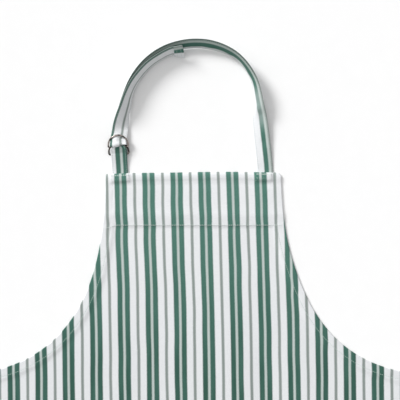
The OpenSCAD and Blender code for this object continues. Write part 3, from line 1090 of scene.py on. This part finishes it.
def floor_material():
    n = Nodes("floor_white")
    grain = n.noise(n.object_place(), 40.0, 2.0)
    n.set("Base Color", n.mix(grain, (0.93, 0.93, 0.93), (0.95, 0.95, 0.95)))
    n.set("Roughness", 0.95)
    n.set("Specular IOR Level", 0.1)
    return n.mat


def dress(piece, *materials):
    for m in materials:
        piece.data.materials.append(m)


def add_to_apron(piece, material, slot, *nodes):
    """Give a piece that rides on the apron its material, and hide the CAD nodes it stands for.
    slot is not used.
    """
    dress(piece, material)
    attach(piece, "apron")
    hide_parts(*nodes)


# ---- stage ----

def put_sun(name, energy, spread, way):
    """A distant light that shines from way, with spread in degrees for how soft it is."""
    light = bpy.data.lights.new(name, "SUN")
    light.energy = energy
    light.angle = math.radians(spread)
    lamp = bpy.data.objects.new(name, light)
    lamp.rotation_euler = Vector(way).to_track_quat("Z", "Y").to_euler()
    bpy.context.scene.collection.objects.link(lamp)


def put_floor_and_light():
    under = (0, 0, -0.0002)  # just below the ground, so that no cloth lies in the floor
    bpy.ops.mesh.primitive_grid_add(x_subdivisions=8, y_subdivisions=8, size=8, location=under)
    floor = bpy.context.object
    floor.name = "floor"
    dress(floor, floor_material())
    world = bpy.data.worlds.new("soft_white")
    world.use_nodes = True
    world.node_tree.nodes["Background"].inputs[0].default_value = (1, 1, 1, 1)
    world.node_tree.nodes["Background"].inputs[1].default_value = 0.38
    bpy.context.scene.world = world
    put_sun("window", 2.8, 20, (-0.68, 0.60, 0.519))
    put_sun("ceiling", 0.85, 100, (-0.35, 0.35, 0.87))
    view = bpy.context.scene.view_settings
    view.view_transform = "Standard"
    view.look = "None"
    view.exposure = 0.0
    view.gamma = 1.0


# ---- build ----

put_camera()
put_floor_and_light()

PAIR = REPEAT / 2  # middle of the pair of bold stripes
# The ticking carries painted shade that darkens it towards the waist.
ticking = cloth_material(
    "ticking_cloth", [(PAIR - BOLD_STEP / 2, BOLD_W), (PAIR + BOLD_STEP / 2, BOLD_W)],
    [(0, THIN_W), (REPEAT, THIN_W)], REPEAT, painted_waist_shade=True,
    tinted=[(PAIR, BOLD_STEP - BOLD_W + 1)])
# The strap's front has a painted highlight where it rises from the bib on the right, and painted shade
# along its arch.
strap_front = cloth_material(
    "strap_front", [(9.9, 7.2)], [(0.9, 4.2)], tinted=[(4.7, 4.6)], depth=0.2,
    painted_highlight_span=(75, 105, 135, 158, 0.25), painted_shade_span=(135, 185, 400, 480, 0.62))
strap_back = cloth_material("strap_back", [(1.7, 4.0)], [(16.2, 3.6)], depth=0.5)
tab_cloth = cloth_material("tab_cloth", [(10.7, 7.4), (22.0, 7.4)], [], tinted=[(16.3, 5)], depth=0.4)
tie_front = cloth_material("tie_front", [(6.5, 7.4), (18.5, 7.4)], [], depth=0.3)
tie_back = cloth_material("tie_back", [(1.7, 4.0)], [(16.2, 3.6)], depth=0.3)
pale_thread = thread_material("pale_thread", srgb(226, 236, 231))
grey_thread = thread_material("grey_green_thread", srgb(196, 208, 203))
soft_thread = thread_material("soft_green_thread", srgb(190, 210, 201))

panel = make_panel()
add_to_apron(panel, ticking, "ticking_cloth", "front_panel")

facing = make_facing()
add_to_apron(facing, ticking, "ticking_cloth", "top_hem_facing")

arm_line = even(ARM[ARM[:, 1] < BIB_Y - TOP_HEM - 0.002], 0.004)
arm_line = arm_line[arm_line[:, 0] < SKIRT - SIDE_HEM - 0.002]
side_line = even([[SKIRT, BIB_Y - CORNER_DEPTH - 0.004], [SKIRT, HEM_Y + BOTTOM_HEM + 0.001]], 0.006)
bottom_line = even([[SKIRT - 0.003, HEM_Y], [-SKIRT + 0.003, HEM_Y]], 0.006)
for word, flip in (("right", 1), ("left", -1)):
    for node, line, width in (("armhole_hem", arm_line, ARM_HEM), ("side_hem", side_line, SIDE_HEM)):
        piece = make_strip(f"{word}_{node}_cloth", line, width)
        if flip < 0:
            co = np.array([v.co for v in piece.data.vertices])
            piece.data.vertices.foreach_set("co", (co * [-1, 1, 1]).astype(np.float32).ravel())
            piece.data.flip_normals()
        add_to_apron(piece, ticking, "ticking_cloth", f"{word}_{node}")
        float(lengths(line)[-1])
bottom_strip = make_strip("bottom_hem_cloth", bottom_line, BOTTOM_HEM)
add_to_apron(bottom_strip, ticking, "ticking_cloth", "bottom_hem")

top_reach = BIB_HALF - 0.003
top_rows = [seam_row(cross_line(0, top_reach, SECOND_LINE), SUNK),
            seam_row(cross_line(0, top_reach * 1.015, TOP_HEM))]
top_stitches = make_stitches("top_hem_stitches", top_rows)
add_to_apron(top_stitches, pale_thread, "sewing_thread", "top_hem_thread")

seam_x = SKIRT - SIDE_HEM + STITCH_IN
seam_y = HEM_Y + BOTTOM_HEM - STITCH_IN
arm_seam = even(ARM, 0.003)
arm_seam = arm_seam + inward(arm_seam) * (ARM_HEM - STITCH_IN)
arm_seam = arm_seam[(arm_seam[:, 1] < BIB_Y - TOP_HEM - 0.002) & (arm_seam[:, 0] < seam_x)]
side_seam = [[seam_x, arm_seam[-1][1] - 0.002], [seam_x, seam_y + 0.002]]
low_seam = [[seam_x, seam_y], [-seam_x, seam_y]]
edge_lines = (arm_seam, mirrored(arm_seam), side_seam, mirrored(side_seam), low_seam)
edge_rows = [seam_row(line, JUST_SUNK) for line in edge_lines]
edge_stitches = make_stitches("edge_stitches", edge_rows)
add_to_apron(edge_stitches, soft_thread, "sewing_thread", "edge_thread")

tack_rows = []
for centre in (-TAB_X, STRAP_X):
    for depth, above in STRAP_TACKS:
        tack_rows.append(seam_row(cross_line(centre, STRAP_W / 2, depth), above))
for side in (-1, 1):
    for inset in TIE_TACKS:
        x = side * (SKIRT - inset)
        tack_rows.append(seam_row([[x, TIE_END[0].y], [x, TIE_END[1].y]], SUNK))
tack_stitches = make_stitches("strap_tack_stitches", tack_rows)
add_to_apron(tack_stitches, pale_thread, "sewing_thread", "strap_tack_thread")

strap, strap_stitches = make_neck_strap()
dress(strap, strap_front, strap_back)
dress(strap_stitches, grey_thread)

tab, tab_stitches = make_ring_tab()
dress(tab, tab_cloth, tab_cloth)
dress(tab_stitches, grey_thread)

# The upper ring lies on top in the light and gets more painted highlight than the lower ring.
make_ring("upper", UPPER_BAR, RING_SLOPE, 0.27)
make_ring("lower", LOWER_BAR, 0.0, 0.12)

for side in (-1, 1):
    dress(make_tie(side), tie_front, tie_back)

bpy.context.view_layer.update()
